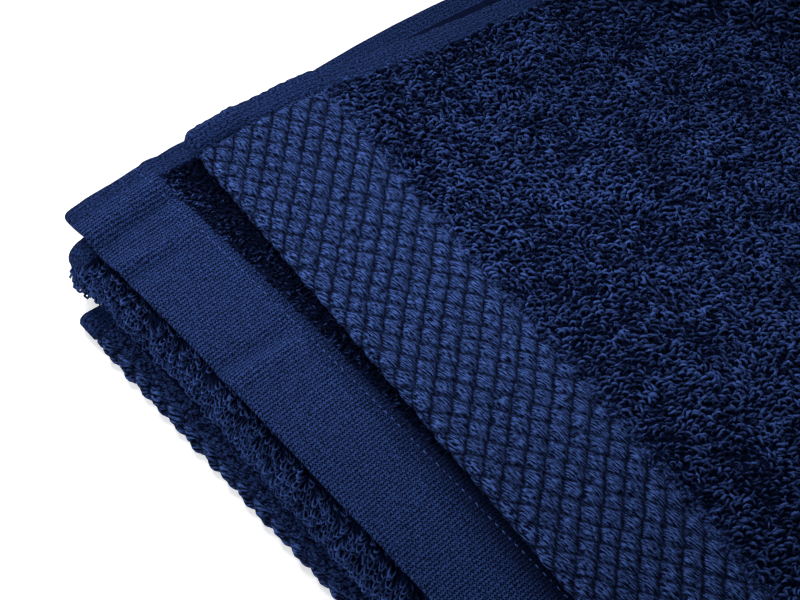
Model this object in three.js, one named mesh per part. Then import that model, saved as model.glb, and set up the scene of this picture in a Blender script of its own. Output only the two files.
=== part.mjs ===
// A bath towel of looped terry, folded back and forth into four long layers and laid flat. One end is
// turned out over the front edge and shows its hem, and the other is tucked in above the bottom layer.
// Millimetres. X runs across the towel, Y from the front folds to the back ones, Z up from the surface.
import * as THREE from "three";

// The cloth laid out flat, and its bands from either end.
const towelWidth = 700;
const towelLength = 1400;
const hemLength = 34;
const terryEndLength = 63;
const plainStripLength = 9;
const borderLength = 50;
const plainLineLength = 4;
const bandBlend = 2.5; // a band's thickness eases into the next over this length

// How thick the folded cloth lies in each band.
const hemThickness = 2.8;
const terryThickness = 4.0;
const plainThickness = 2.4;
const borderThickness = 2.8;

// Where the folds lie, in Y, at the left and right edges of the cloth.
const foldLines = {
  hemEdge: { left: 92, right: 134, wander: 0.5, phase: 0.1 },
  flapFold: { left: 167.6, right: 199.1, wander: 0.5, phase: 0.4 },
  topFold: { left: 142, right: 151.5, wander: 0.3, phase: 0.7 },
  pileFold: { left: 88.5, right: 129, wander: 1.2, phase: 0.2 },
  bottomFold: { left: 82.3, right: 121.7, wander: 0.4, phase: 0.9 },
  upperBackFold: { beyondBack: -2, wander: 2.0, phase: 0.5 },
  lowerBackFold: { beyondBack: 2, wander: 1.6, phase: 0.0 },
  tuckedEnd: { pastBottomFold: 104, wander: 0.5, phase: 0.3 },
};
const skewReach = 240; // the lower layers' skew eases out over this distance from the left edge
const skewPower = 1.15;
const bendLength = 16; // what the rounds of the folds take up between the long layers

// The runs of cloth between the folds, from the turned-out hem to the tucked end. Heights are those of
// the cloth's middle, a level start is the share of a run that keeps its first height, and a shift moves
// the run sideways from where the top layer's front corner puts it.
const runs = [
  {
    name: "flap with the hem", from: "hemEdge", to: "flapFold", steps: 6,
    heightFrom: 28.9, heightTo: 29.1, shiftFrom: 0.8, shiftMiddle: -2.4, shiftTo: -2.8,
  },
  {
    name: "return under the top", from: "flapFold", to: "topFold", steps: 3,
    heightFrom: 33.7, heightTo: 34.2, shiftFrom: -2.8, shiftMiddle: -1.4, shiftTo: 0,
  },
  {
    name: "top layer", from: "topFold", to: "upperBackFold", steps: 12,
    heightFrom: 38.3, heightTo: 23.0, levelStart: 0.12, shiftFrom: 0, shiftMiddle: 6, shiftTo: -4,
  },
  {
    name: "second layer", from: "upperBackFold", to: "pileFold", steps: 10,
    heightFrom: 14.6, heightTo: 23.2, shiftFrom: -8, shiftMiddle: -17, shiftTo: 9,
  },
  {
    name: "third layer", from: "pileFold", to: "lowerBackFold", steps: 10,
    heightFrom: 12.4, heightTo: 9.2, shiftFrom: 9, shiftMiddle: 4, shiftTo: -2,
  },
  {
    name: "bottom layer", from: "lowerBackFold", to: "bottomFold", steps: 10,
    heightFrom: 1.95, heightTo: 1.35, shiftFrom: 0, shiftMiddle: 10, shiftTo: 24,
  },
  {
    name: "tucked end", from: "bottomFold", to: "tuckedEnd", steps: 7,
    heightFrom: 5.1, heightTo: 7.0, shiftFrom: 24, shiftMiddle: 24, shiftTo: 26,
  },
];
const foldSteps = 7;
const stationCount = 20;
const stationCrowding = 1.35; // above 1, the cross-sections crowd towards the left edge

// The slow rise and fall of the laid stack.
const stackHeight = 40;
const swellHeight = 0.8;
const swellAcross = 210;
const swellAlong = 357;
const swellSlant = 0.4;

const lerp = (a, b, t) => a + (b - a) * t;

// How far the lower layers have swung back, from 0 at the left edge to 1 at the right.
function skewAt(across) {
  const swung = (distance) => 1 - Math.exp(-Math.pow(distance / skewReach, skewPower));
  return swung(across * towelWidth) / swung(towelWidth);
}

// A fold line's slow and quick wandering, between about -1 and 1.
function wanderAt(across, phase) {
  const slow = Math.sin(2 * Math.PI * (2.3 * across + phase));
  const quick = Math.sin(2 * Math.PI * (5.1 * across - phase));
  return 0.6 * slow + 0.4 * quick;
}

// The four long layers share what the flap and the tucked end leave of the towel's length.
function backLineAt(across) {
  const line = (name) => lerp(foldLines[name].left, foldLines[name].right, skewAt(across));
  const endLength = hemLength + terryEndLength + plainStripLength;
  const fronts = line("topFold") + 2 * line("pileFold") + line("bottomFold");
  return (towelLength - 2 * endLength - bendLength + fronts) / 4;
}

function foldLineAt(name, across) {
  const fold = foldLines[name];
  const wander = fold.wander * wanderAt(across, fold.phase);
  if (fold.beyondBack !== undefined) return backLineAt(across) + fold.beyondBack + wander;
  if (fold.pastBottomFold !== undefined) {
    return foldLineAt("bottomFold", across) + fold.pastBottomFold + wander;
  }
  return lerp(fold.left, fold.right, skewAt(across)) + wander;
}

// A smooth curve through a run's sideways shifts at its start, middle and end.
function shiftAlong(run, t) {
  const bend = run.shiftMiddle - (run.shiftFrom + run.shiftTo) / 2;
  return lerp(run.shiftFrom, run.shiftTo, t) + bend * Math.sin(Math.PI * t);
}

function heightAlong(run, t) {
  const level = run.levelStart ?? 0;
  const onward = Math.max(t - level, 0) / (1 - level);
  return lerp(run.heightFrom, run.heightTo, (1 - Math.cos(Math.PI * onward)) / 2);
}

// The middle of the cloth at one cross-section, as points with the run's shift.
function middleLine(across) {
  const points = [];
  runs.forEach((run, index) => {
    const before = runs[index - 1];
    const after = runs[index + 1];
    const startRadius = before ? Math.abs(run.heightFrom - before.heightTo) / 2 : 0;
    const endRadius = after ? Math.abs(after.heightFrom - run.heightTo) / 2 : 0;
    const startLine = foldLineAt(run.from, across);
    const endLine = foldLineAt(run.to, across);
    const heading = Math.sign(endLine - startLine);
    const startY = startLine + heading * startRadius;
    const endY = endLine - heading * endRadius;
    for (let i = 0; i <= run.steps; i++) {
      const t = i / run.steps;
      points.push({
        y: lerp(startY, endY, t),
        z: heightAlong(run, t),
        shift: shiftAlong(run, t),
      });
    }
    if (!after) return;
    const rise = after.heightFrom - run.heightTo;
    for (let i = 1; i < foldSteps; i++) {
      const turn = (Math.PI * i) / foldSteps;
      points.push({
        y: endY + heading * endRadius * Math.sin(turn),
        z: run.heightTo + (rise * (1 - Math.cos(turn))) / 2,
        shift: lerp(run.shiftTo, after.shiftFrom, i / foldSteps),
      });
    }
  });
  return points;
}

// The cloth's thickness at a distance from its nearer end.
function thicknessAt(fromEnd) {
  const bands = [
    { length: hemLength, thickness: hemThickness },
    { length: terryEndLength, thickness: terryThickness },
    { length: plainStripLength, thickness: plainThickness },
    { length: borderLength, thickness: borderThickness },
    { length: plainLineLength, thickness: plainThickness },
    { length: Infinity, thickness: terryThickness },
  ];
  let start = 0;
  let thickness = bands[0].thickness;
  for (const band of bands) {
    const into = THREE.MathUtils.clamp((fromEnd - start) / bandBlend + 0.5, 0, 1);
    if (start > 0) thickness = lerp(thickness, band.thickness, into);
    start += band.length;
  }
  return thickness;
}

// The slow swell lifts the upper layers most and leaves the underside flat.
function swellAt(x, y, z) {
  const across = Math.sin((2 * Math.PI * (x + swellSlant * y)) / swellAcross);
  const along = Math.cos((2 * Math.PI * y) / swellAlong);
  return (swellHeight * across * along * z) / stackHeight;
}

// One cross-section: the two faces of the cloth, point for point.
function crossSection(across) {
  const middle = middleLine(across);
  const along = [0];
  for (let i = 1; i < middle.length; i++) {
    along.push(along[i - 1] + Math.hypot(middle[i].y - middle[i - 1].y, middle[i].z - middle[i - 1].z));
  }
  const total = along[along.length - 1];
  const faces = { inner: [], outer: [] };
  middle.forEach((point, i) => {
    const next = middle[Math.min(i + 1, middle.length - 1)];
    const last = middle[Math.max(i - 1, 0)];
    const step = Math.hypot(next.y - last.y, next.z - last.z);
    const half = thicknessAt(Math.min(along[i], total - along[i])) / 2;
    const normal = { y: -(next.z - last.z) / step, z: (next.y - last.y) / step };
    for (const [face, side] of [["inner", 1], ["outer", -1]]) {
      const x = (across - 0.5) * towelWidth + point.shift;
      const y = point.y + side * half * normal.y;
      const z = point.z + side * half * normal.z;
      faces[face].push(new THREE.Vector3(x, y, Math.max(z + swellAt(x, y, z), 0)));
    }
  });
  return faces;
}

// The closed skin through all the cross-sections, with its two side edges.
function foldedTowelGeometry() {
  const sections = [];
  for (let i = 0; i < stationCount; i++) {
    sections.push(crossSection(Math.pow(i / (stationCount - 1), stationCrowding)));
  }
  const perFace = sections[0].inner.length;
  const ring = 2 * perFace;
  const positions = sections.flatMap(({ inner, outer }) => [...inner, ...outer.slice().reverse()]);
  const index = [];
  const quad = (a, b, c, d) => index.push(a, c, b, a, d, c);
  for (let s = 0; s < stationCount - 1; s++) {
    for (let i = 0; i < ring; i++) {
      const next = (i + 1) % ring;
      quad(s * ring + i, s * ring + next, (s + 1) * ring + next, (s + 1) * ring + i);
    }
  }
  const lastRing = (stationCount - 1) * ring;
  for (let i = 0; i < perFace - 1; i++) {
    const across = ring - 1 - i;
    quad(i, across, across - 1, i + 1);
    quad(lastRing + i, lastRing + i + 1, lastRing + across - 1, lastRing + across);
  }
  const geometry = new THREE.BufferGeometry().setFromPoints(positions);
  geometry.setIndex(index);
  geometry.computeVertexNormals();
  return geometry;
}

const navyTerry = new THREE.MeshStandardMaterial({ color: 0x1f2a63, roughness: 0.95, metalness: 0 });

const geometry = foldedTowelGeometry();
geometry.computeBoundingBox();
const middleOfBox = geometry.boundingBox.getCenter(new THREE.Vector3());

const towel = new THREE.Mesh(geometry, navyTerry);
towel.name = "towel";
towel.position.set(-middleOfBox.x, -middleOfBox.y, -geometry.boundingBox.min.z);

const group = new THREE.Group();
group.add(towel);
export default group;
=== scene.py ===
import math

import bpy
import numpy as np
from mathutils import Matrix


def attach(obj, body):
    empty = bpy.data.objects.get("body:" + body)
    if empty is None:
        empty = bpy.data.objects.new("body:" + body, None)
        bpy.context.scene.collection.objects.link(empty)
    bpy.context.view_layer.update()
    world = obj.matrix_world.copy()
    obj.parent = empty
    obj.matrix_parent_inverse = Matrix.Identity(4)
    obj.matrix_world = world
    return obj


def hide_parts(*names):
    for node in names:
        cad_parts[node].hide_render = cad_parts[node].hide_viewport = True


print("towel: loading the frame")
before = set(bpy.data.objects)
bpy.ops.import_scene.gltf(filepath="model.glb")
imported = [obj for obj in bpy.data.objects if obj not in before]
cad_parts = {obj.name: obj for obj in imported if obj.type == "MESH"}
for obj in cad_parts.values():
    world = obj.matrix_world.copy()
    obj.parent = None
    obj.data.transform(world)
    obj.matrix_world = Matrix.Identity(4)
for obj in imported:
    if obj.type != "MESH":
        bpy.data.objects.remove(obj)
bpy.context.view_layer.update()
mm = 0.001  # one millimetre in the frame's metres
uvPerMm = 0.01

# The cloth laid out flat, and its bands from either end.
cloth = {
    "width": 700.0,
    "length": 1400.0,
    "hem": 34.0,
    "terryEnd": 63.0,
    "plainStrip": 9.0,
    "border": 50.0,
    "plainLine": 4.0,
    "sideHem": 9.5,
    "hemThickness": 2.8,
    "terryThickness": 4.0,
    "plainThickness": 2.4,
    "borderThickness": 2.8,
    "sideHemThickness": 3.3,
    "bandBlend": 2.5,
}
borderStart = cloth["hem"] + cloth["terryEnd"] + cloth["plainStrip"]
borderEnd = borderStart + cloth["border"]
terryStart = borderEnd + cloth["plainLine"]
lastBorderEdge = cloth["length"] - borderStart

# Where the folds lie, from front to back, at the left and right edges of the cloth.
foldLines = {
    "hemEdge": {"left": 92.0, "right": 134.0, "wander": 0.5, "phase": 0.1},
    "flapFold": {"left": 167.6, "right": 199.1, "wander": 0.5, "phase": 0.4},
    "topFold": {"left": 142.0, "right": 151.5, "wander": 0.3, "phase": 0.7},
    "pileFold": {"left": 88.5, "right": 129.0, "wander": 1.2, "phase": 0.2},
    "bottomFold": {"left": 82.3, "right": 121.7, "wander": 0.4, "phase": 0.9},
    "upperBackFold": {"beyondBack": -2.0, "wander": 2.0, "phase": 0.5},
    "lowerBackFold": {"beyondBack": 2.0, "wander": 1.6, "phase": 0.0},
    "tuckedEnd": {"pastBottomFold": 104.0, "wander": 0.5, "phase": 0.3},
}

# The runs of cloth between the folds: steps, heights of the cloth's middle, level start, sideways shifts.
runColumns = ("name", "start", "end", "steps", "heights", "level", "shifts")
runTable = [
    ("flap with the hem", "hemEdge", "flapFold", 6, (28.9, 29.1), 0.0, (0.8, -2.4, -2.8)),
    ("return under the top", "flapFold", "topFold", 3, (33.7, 34.2), 0.0, (-2.8, -1.4, 0)),
    ("top layer", "topFold", "upperBackFold", 12, (38.3, 23.0), 0.12, (0, 6, -4)),
    ("second layer", "upperBackFold", "pileFold", 10, (14.6, 23.2), 0.0, (-8, -17, 9)),
    ("third layer", "pileFold", "lowerBackFold", 10, (12.4, 9.2), 0.0, (9, 4, -2)),
    ("bottom layer", "lowerBackFold", "bottomFold", 10, (1.95, 1.35), 0.0, (0, 10, 24)),
    ("tucked end", "bottomFold", "tuckedEnd", 7, (5.1, 7.0), 0.0, (24, 24, 26)),
]
runs = [dict(zip(runColumns, row)) for row in runTable]

# The runs before and after a fold.
topFoldRuns = ("return under the top", "top layer")
pileFoldRuns = ("second layer", "third layer")
backFoldRuns = ("third layer", "bottom layer")
bottomFoldRuns = ("bottom layer", "tucked end")

lay = {
    "skewReach": 240.0,
    "skewPower": 1.15,
    "bendLength": 16.0,
    "foldSteps": 7,
    "stationCount": 20,
    "stationCrowding": 1.35,
    "stackHeight": 40.0,
    "swellHeight": 0.8,
    "swellAcross": 210.0,
    "swellAlong": 357.0,
    "swellSlant": 0.4,
    "slowWander": 2.3,
    "quickWander": 5.1,
    "slowShare": 0.6,
}

# Soft troughs and ridges of the laid cloth, each along a line from x1, y1 to x2, y2. They fade with depth.
creaseColumns = ("x1", "y1", "x2", "y2", "width", "rise")
creaseTable = [
    (-336, 96, -342, 126, 4.5, 4.6),
    (-328, 93, -333, 124, 3.2, -4.4),
    (-323, 96, -325, 121, 2.6, -3.4),
    (-318, 96, -317, 124, 2.8, 3.4),
    (-312, 101, -315, 117, 3.0, -3.2),
    (-264, 106, -265, 128, 3.4, -4.4),
    (-258, 108, -259, 130, 3.6, 3.0),
    (-205, 114, -206, 140, 9.0, -2.0),
    (-345, 132, -346, 158, 4.0, 2.0),
]
creases = [dict(zip(creaseColumns, row)) for row in creaseTable]
creaseFade = {"power": 3.0, "highest": 1.1}


def lerp(a, b, t):
    return a + (b - a) * t


def smoothStep(t):
    t = np.clip(t, 0.0, 1.0)
    return t * t * (3.0 - 2.0 * t)


def bell(distance):
    return np.exp(-np.square(distance))


def sideDistance(x):
    return np.minimum(x, cloth["width"] - x)


def endDistance(along):
    return np.minimum(along, cloth["length"] - along)


def unit(vectors):
    return vectors / np.linalg.norm(vectors, axis=-1, keepdims=True)


def skewAt(across):
    def swung(distance):
        return 1.0 - np.exp(-np.power(distance / lay["skewReach"], lay["skewPower"]))

    return swung(across * cloth["width"]) / swung(cloth["width"])


def wanderAt(across, phase):
    slow = np.sin(2 * math.pi * (lay["slowWander"] * across + phase))
    quick = np.sin(2 * math.pi * (lay["quickWander"] * across - phase))
    return lay["slowShare"] * slow + (1 - lay["slowShare"]) * quick


def straightLine(name, across):
    return lerp(foldLines[name]["left"], foldLines[name]["right"], skewAt(across))


def backLineAt(across):
    fronts = straightLine("topFold", across) + 2 * straightLine("pileFold", across)
    fronts = fronts + straightLine("bottomFold", across)
    return (cloth["length"] - 2 * borderStart - lay["bendLength"] + fronts) / 4


def foldLineAt(name, across):
    fold = foldLines[name]
    wander = fold["wander"] * wanderAt(across, fold["phase"])
    if "beyondBack" in fold:
        return backLineAt(across) + fold["beyondBack"] + wander
    if "pastBottomFold" in fold:
        return foldLineAt("bottomFold", across) + fold["pastBottomFold"] + wander
    return straightLine(name, across) + wander


def shiftAlong(run, t):
    first, middle, last = run["shifts"]
    return lerp(first, last, t) + (middle - (first + last) / 2) * np.sin(math.pi * t)


def heightAlong(run, t):
    onward = np.maximum(t - run["level"], 0) / (1 - run["level"])
    return lerp(*run["heights"], (1 - np.cos(math.pi * onward)) / 2)


# The middle of the cloth at each station: its y, z and shift, and the first and last point of each run.
def middleLine(across, fineness):
    ys, zs, shifts, marks = [], [], [], {}
    count = 0
    for index, run in enumerate(runs):
        before = runs[index - 1] if index else None
        after = runs[index + 1] if index + 1 < len(runs) else None
        startRadius = abs(run["heights"][0] - before["heights"][1]) / 2 if before else 0.0
        endRadius = abs(after["heights"][0] - run["heights"][1]) / 2 if after else 0.0
        startLine = foldLineAt(run["start"], across)
        endLine = foldLineAt(run["end"], across)
        heading = np.sign(endLine - startLine)
        startY = startLine + heading * startRadius
        endY = endLine - heading * endRadius
        t = np.linspace(0.0, 1.0, run["steps"] * fineness + 1)
        ys.append(startY[:, None] + (endY - startY)[:, None] * t)
        zs.append(np.broadcast_to(heightAlong(run, t), ys[-1].shape))
        shifts.append(np.broadcast_to(shiftAlong(run, t), ys[-1].shape))
        marks[run["name"]] = (count, count + len(t) - 1)
        count += len(t)
        if not after:
            continue
        rise = after["heights"][0] - run["heights"][1]
        turn = np.linspace(0.0, math.pi, lay["foldSteps"] * fineness + 1)[1:-1]
        ys.append(endY[:, None] + (heading * endRadius)[:, None] * np.sin(turn))
        bendHeights = run["heights"][1] + rise * (1 - np.cos(turn)) / 2
        zs.append(np.broadcast_to(bendHeights, ys[-1].shape))
        bendShifts = lerp(run["shifts"][2], after["shifts"][0], turn / math.pi)
        shifts.append(np.broadcast_to(bendShifts, ys[-1].shape))
        count += len(turn)
    return np.hstack(ys), np.hstack(zs), np.hstack(shifts), marks


def alongLine(ys, zs):
    steps = np.hypot(np.diff(ys, axis=1), np.diff(zs, axis=1))
    return np.hstack([np.zeros((len(ys), 1)), np.cumsum(steps, axis=1)])


def bandThickness(fromEnd):
    bands = [
        (cloth["hem"], cloth["terryThickness"]),
        (cloth["terryEnd"], cloth["plainThickness"]),
        (cloth["plainStrip"], cloth["borderThickness"]),
        (cloth["border"], cloth["plainThickness"]),
        (cloth["plainLine"], cloth["terryThickness"]),
    ]
    start = 0.0
    thickness = np.full_like(fromEnd, cloth["hemThickness"])
    for length, nextThickness in bands:
        start += length
        into = np.clip((fromEnd - start) / cloth["bandBlend"] + 0.5, 0, 1)
        thickness = lerp(thickness, nextThickness, into)
    return thickness


def swellAt(x, y, z):
    across = np.sin(2 * math.pi * (x + lay["swellSlant"] * y) / lay["swellAcross"])
    along = np.cos(2 * math.pi * y / lay["swellAlong"])
    return lay["swellHeight"] * across * along * z / lay["stackHeight"]


def creaseAt(x, y, z):
    total = np.zeros_like(x)
    share = np.power(np.clip(z / lay["stackHeight"], 0, creaseFade["highest"]), creaseFade["power"])
    for crease in creases:
        dx, dy = crease["x2"] - crease["x1"], crease["y2"] - crease["y1"]
        t = ((x - crease["x1"]) * dx + (y - crease["y1"]) * dy) / (dx * dx + dy * dy)
        inside = np.clip(t, 0.0, 1.0)
        away = np.hypot(x - crease["x1"] - inside * dx, y - crease["y1"] - inside * dy)
        total += crease["rise"] * bell(away / crease["width"]) * share
    return total


# The middle of the part's own box, from the same stations and faces as its solid.
def boxMiddle():
    across = np.power(np.arange(lay["stationCount"]) / (lay["stationCount"] - 1), lay["stationCrowding"])
    ys, zs, shifts, _ = middleLine(across, 1)
    along = alongLine(ys, zs)
    total = along[:, -1:]

    def acrossPoint(values):
        return np.hstack([values[:, 1:], values[:, -1:]]) - np.hstack([values[:, :1], values[:, :-1]])

    dy, dz = acrossPoint(ys), acrossPoint(zs)
    half = bandThickness(np.minimum(along, total - along)) / 2
    reach = half * dz / np.hypot(dy, dz)
    xs = (across[:, None] - 0.5) * cloth["width"] + shifts
    lows = min((ys - reach).min(), (ys + reach).min())
    highs = max((ys - reach).max(), (ys + reach).max())
    return np.array([(xs.min() + xs.max()) / 2, (lows + highs) / 2, 0.0])


print("towel: laying the folded cloth")
middleOfBox = boxMiddle()
surface = {"columns": 351, "rows": 2801, "fineness": 6}
columnPlaces = np.linspace(0.0, 1.0, surface["columns"])
columnX = columnPlaces * cloth["width"]
rowPlaces = np.linspace(0.0, cloth["length"], surface["rows"])
fineY, fineZ, fineShift, fineMarks = middleLine(columnPlaces, surface["fineness"])
fineAlong = alongLine(fineY, fineZ)
fineAlong = fineAlong * (cloth["length"] / fineAlong[:, -1:])


def resampled(values):
    return np.array([np.interp(rowPlaces, fineAlong[i], values[i]) for i in range(len(values))])


# How far along the cloth a run starts or ends, which is 0 or 1, at each distance across.
def markAlong(runName, which, x):
    index = fineMarks[runName][which]
    return np.interp(x / cloth["width"], columnPlaces, fineAlong[:, index])


def foldMiddle(before, after, x):
    return (markAlong(before, 1, x) + markAlong(after, 0, x)) / 2


# The left side's outline wavers a little: at these lengths along the cloth it moves so far.
edgeWaves = [
    (0, -0.8), (10, -1.5), (22, -1.3), (36, -1.9), (50, -1.5), (64, -1.2), (80, -0.6), (96, 0.0),
    (107, 1.2), (115, 0.0), (124, -1.8), (134, -2.6), (149, -3.6), (156, -3.4), (170, -1.1), (193, 0.0),
]
edgeWaveReach = 45.0
# At the left end the underside of the pile's front fold sags forward and down.
pileSag = {
    "forward": 2.8,
    "down": 4.6,
    "reach": 16.0,
    "from": 1.5,
    "full": 7.0,
    "until": 12.0,
    "gone": 22.0,
}


# The places of the cloth's middle and their normals, by columns across and rows along it.
def surfaceTables():
    fromLeft = columnX[:, None]
    x = (columnPlaces[:, None] - 0.5) * cloth["width"] + resampled(fineShift)
    x = x + np.interp(rowPlaces, *zip(*edgeWaves)) * np.exp(-fromLeft / edgeWaveReach)
    y, z = resampled(fineY), resampled(fineZ)
    z = z + swellAt(x, y, z) + creaseAt(x, y, z)
    pastFold = rowPlaces[None, :] - foldMiddle(*pileFoldRuns, columnX)[:, None]
    sag = smoothStep((pastFold - pileSag["from"]) / (pileSag["full"] - pileSag["from"]))
    sag *= 1.0 - smoothStep((pastFold - pileSag["until"]) / (pileSag["gone"] - pileSag["until"]))
    sag *= bell(fromLeft / pileSag["reach"])
    places = np.stack([x, y - pileSag["forward"] * sag, z - pileSag["down"] * sag], axis=-1)
    return places, unit(np.cross(np.gradient(places, axis=0), np.gradient(places, axis=1)))


surfacePlaces, surfaceNormals = surfaceTables()


# A point of the cloth's middle and its normal, from how far across and how far along it is.
def onCloth(x, along):
    column = np.clip(x / cloth["width"], 0, 1) * (surface["columns"] - 1)
    row = np.clip(along / cloth["length"], 0, 1) * (surface["rows"] - 1)
    c = np.minimum(column.astype(int), surface["columns"] - 2)
    r = np.minimum(row.astype(int), surface["rows"] - 2)
    fc, fr = (column - c)[..., None], (row - r)[..., None]

    def blend(table):
        near = table[c, r] * (1 - fr) + table[c, r + 1] * fr
        far = table[c + 1, r] * (1 - fr) + table[c + 1, r + 1] * fr
        return near * (1 - fc) + far * fc

    return blend(surfacePlaces), unit(blend(surfaceNormals))


# From the layout's millimetres to the frame's metres.
def inFrame(points):
    return (points - middleOfBox) * mm


noiseCells = 64


# Smooth noise between -1 and 1 that repeats after its cells.
def softNoise(x, y, cell, seed):
    grid = np.random.default_rng(seed).uniform(-1.0, 1.0, (noiseCells, noiseCells))
    gx, gy = x / cell, y / cell
    ix, iy = np.floor(gx).astype(int), np.floor(gy).astype(int)
    fx, fy = smoothStep(gx - ix), smoothStep(gy - iy)

    def corner(i, j):
        return grid[(ix + i) % noiseCells, (iy + j) % noiseCells]

    low = corner(0, 0) * (1 - fx) + corner(1, 0) * fx
    high = corner(0, 1) * (1 - fx) + corner(1, 1) * fx
    return low * (1 - fy) + high * fy


def makeObject(name, mesh):
    made = bpy.data.objects.new(name, mesh)
    bpy.context.scene.collection.objects.link(made)
    return made


# A mesh from points in the frame, with the cloth's own width and length kept as its UV map.
def meshFrom(name, points, faces, flat, materials, faceMaterials=None):
    mesh = bpy.data.meshes.new(name)
    mesh.vertices.add(len(points))
    mesh.vertices.foreach_set("co", np.asarray(points, np.float32).ravel())
    faces = np.asarray(faces, np.int32)
    mesh.loops.add(faces.size)
    mesh.loops.foreach_set("vertex_index", faces.ravel())
    mesh.polygons.add(len(faces))
    mesh.polygons.foreach_set("loop_start", np.arange(len(faces), dtype=np.int32) * faces.shape[1])
    layer = mesh.uv_layers.new(name="clothPlace")
    layer.data.foreach_set("uv", (np.asarray(flat, np.float32)[faces.ravel()] * uvPerMm).ravel())
    for material in materials:
        mesh.materials.append(material)
    if faceMaterials is not None:
        mesh.polygons.foreach_set("material_index", np.asarray(faceMaterials, np.int32))
    mesh.update(calc_edges=True)
    mesh.validate()
    mesh.shade_smooth()
    return mesh


# Keeps a number or a vector on each point of a mesh.
def keepOnPoints(mesh, title, values):
    values = np.asarray(values, np.float32)
    kind, field = ("FLOAT", "value") if values.ndim == 1 else ("FLOAT_VECTOR", "vector")
    mesh.attributes.new(title, kind, "POINT").data.foreach_set(field, values.ravel())


# The four corners of each cell in a grid of points.
def gridFaces(index):
    corners = (index[:-1, :-1], index[1:, :-1], index[1:, 1:], index[:-1, 1:])
    return np.stack(corners, axis=-1).reshape(-1, 4)


# Adds nodes to a tree. A node's settings go in first, then the values or links of its sockets.
class Graph:
    def __init__(self, tree):
        self.tree = tree
        tree.nodes.clear()

    def add(self, kind, settings=None, sockets=None):
        node = self.tree.nodes.new(kind)
        for name, value in (settings or {}).items():
            setattr(node, name, value)
        for key, value in (sockets or {}).items():
            if isinstance(value, Flow):
                value = value.socket
            if isinstance(value, bpy.types.NodeSocket):
                self.tree.links.new(value, node.inputs[key])
            else:
                node.inputs[key].default_value = value
        return node

    def flow(self, kind, settings=None, sockets=None, output=0):
        return Flow(self, self.add(kind, settings, sockets).outputs[output])

    def attribute(self, name):
        return self.flow("ShaderNodeAttribute", {"attribute_name": name}, output=2)

    def mixColour(self, share, first, second):
        return self.flow("ShaderNodeMix", {"data_type": "RGBA"}, {0: share, 6: first, 7: second}, output=2)


# A node's output that can be used in Python arithmetic. Each operation adds a Math node.
class Flow:
    def __init__(self, graph, socket):
        self.graph = graph
        self.socket = socket

    def math(self, operation, *others, clamp=False):
        sockets = dict(enumerate((self, *others)))
        return self.graph.flow("ShaderNodeMath", {"operation": operation, "use_clamp": clamp}, sockets)

    def reflected(self, operation, other):
        return self.graph.flow("ShaderNodeMath", {"operation": operation}, {0: other, 1: self})

    def __add__(self, other):
        return self.math("ADD", other)

    def __radd__(self, other):
        return self.reflected("ADD", other)

    def __sub__(self, other):
        return self.math("SUBTRACT", other)

    def __rsub__(self, other):
        return self.reflected("SUBTRACT", other)

    def __mul__(self, other):
        return self.math("MULTIPLY", other)

    def __rmul__(self, other):
        return self.reflected("MULTIPLY", other)

    # A sine that stays between 0 and 1.
    def wave(self):
        return self.math("SINE") * 0.5 + 0.5

    def limited(self):
        return self.math("MAXIMUM", 0.0, clamp=True)


# Navy cotton. The dark and light colours are mixed by a share, and a height makes the bump.
navy = {
    "deep": (0.0006, 0.0018, 0.010, 1.0),
    # The ground cloth's colour is painted much darker than the yarn, as shade between the loops.
    "paintedShadeGround": (0.0024, 0.0064, 0.030, 1.0),
    "light": (0.0235, 0.0530, 0.195, 1.0),
    "bright": (0.0370, 0.0760, 0.260, 1.0),
    "crown": (0.0520, 0.1060, 0.350, 1.0),
    "stitch": (0.0480, 0.0920, 0.280, 1.0),
}
cottonGloss = {
    "Roughness": 0.9,
    "Sheen Weight": 0.01,
    "Sheen Roughness": 0.4,
    "Sheen Tint": (0.35, 0.5, 1.0, 1.0),
    "Specular IOR Level": 0.03,
}


# A pattern gets the place on the cloth, as millimetres across and along, and gives a share and a height.
def cottonMaterial(name, dark, light, pattern, bumpDepth):
    material = bpy.data.materials.new(name)
    material.use_nodes = True
    graph = Graph(material.node_tree)
    uv = graph.flow("ShaderNodeUVMap", {"uv_map": "clothPlace"})
    split = graph.add("ShaderNodeSeparateXYZ", None, {0: uv})
    place = [Flow(graph, output) * (1.0 / uvPerMm) for output in split.outputs[:2]]
    share, height = pattern(graph, place)
    bump = graph.flow("ShaderNodeBump", None, {"Strength": 1.0, "Distance": bumpDepth, "Height": height})
    finish = {"Base Color": graph.mixColour(share, navy[dark], navy[light]), "Normal": bump}
    shader = graph.flow("ShaderNodeBsdfPrincipled", None, finish | cottonGloss)
    graph.add("ShaderNodeOutputMaterial", {"is_active_output": True}, {"Surface": shader})
    return material


def fineNoise(graph, scale, detail=2.0):
    where = graph.flow("ShaderNodeTexCoord", output="Object")
    settings = {"Vector": where, "Scale": scale, "Detail": detail, "Roughness": 0.6}
    return graph.flow("ShaderNodeTexNoise", {"noise_dimensions": "3D"}, settings)


# How many steps a place on the cloth lies along a line at an angle to the cloth's width, and beside it.
def onward(place, angle, step):
    turn = math.radians(angle)
    return place[0] * (math.cos(turn) / step) + place[1] * (math.sin(turn) / step)


def sideways(place, angle, step):
    turn = math.radians(angle)
    return place[1] * (math.cos(turn) / step) - place[0] * (math.sin(turn) / step)


# Noise drawn out along the yarns. Its grains lie at an angle on the cloth, and are so wide and so long.
def streaks(graph, place, angle, width, length, detail=1.0):
    turned = {0: onward(place, angle, length), 1: sideways(place, angle, width)}
    where = graph.flow("ShaderNodeCombineXYZ", None, turned)
    settings = {"Vector": where, "Scale": 1.0, "Detail": detail, "Roughness": 0.6}
    return graph.flow("ShaderNodeTexNoise", {"noise_dimensions": "2D"}, settings)


# Two patterns added by their shares, less a number.
def blended(first, second, shares):
    firstShare, secondShare, less = shares
    return first * firstShare + second * secondShare - less


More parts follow.
